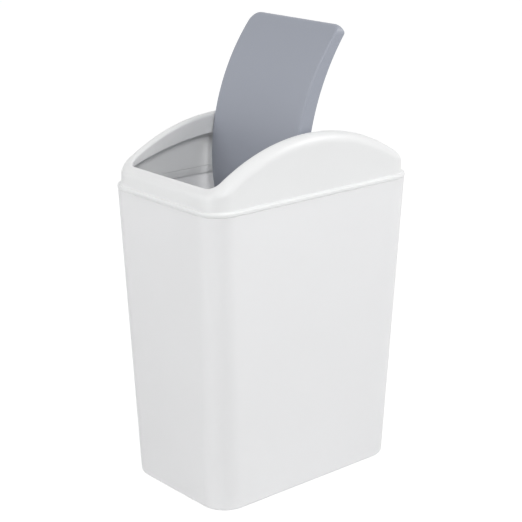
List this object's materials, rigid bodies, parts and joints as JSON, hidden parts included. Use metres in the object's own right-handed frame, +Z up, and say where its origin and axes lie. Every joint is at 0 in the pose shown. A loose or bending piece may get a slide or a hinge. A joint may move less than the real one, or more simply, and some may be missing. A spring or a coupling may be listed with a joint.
{
  "type": "countertop trash can with swing lid",
  "caption": "Small tapered trash can with rounded corners, an arched lift-off lid frame and a curved flap that swings both ways on stub pins.",
  "frame": {"origin": "middle of the face that the body rests on", "axes": "+Z up, X along the wide face and the flap's swing, Y along the narrow face and the pivot"},
  "size_m": [0.2412, 0.1554, 0.4258],
  "materials": {
    "bin_plastic": "fine moulded satin, very pale cool grey",
    "lid_plastic": "fine moulded satin, white",
    "flap_plastic": "fine moulded satin, slate grey"
  },
  "bodies": {
    "bin": {"bin_body": "bin_plastic"},
    "lid": {"lid_frame": "lid_plastic"},
    "flap": {"swing_flap": "flap_plastic"}
  },
  "joints": [
    {"name": "lid_lift", "type": "slide", "parent": "bin", "child": "lid", "axis": [0, 0, 1], "range_m": [0, 0.12]},
    {"name": "flap_swing", "type": "hinge", "parent": "lid", "child": "flap", "pos_m": [0, 0, 0.3238], "axis": [0, 1, 0], "range_deg": [-9.3, 170.7]}
  ]
}
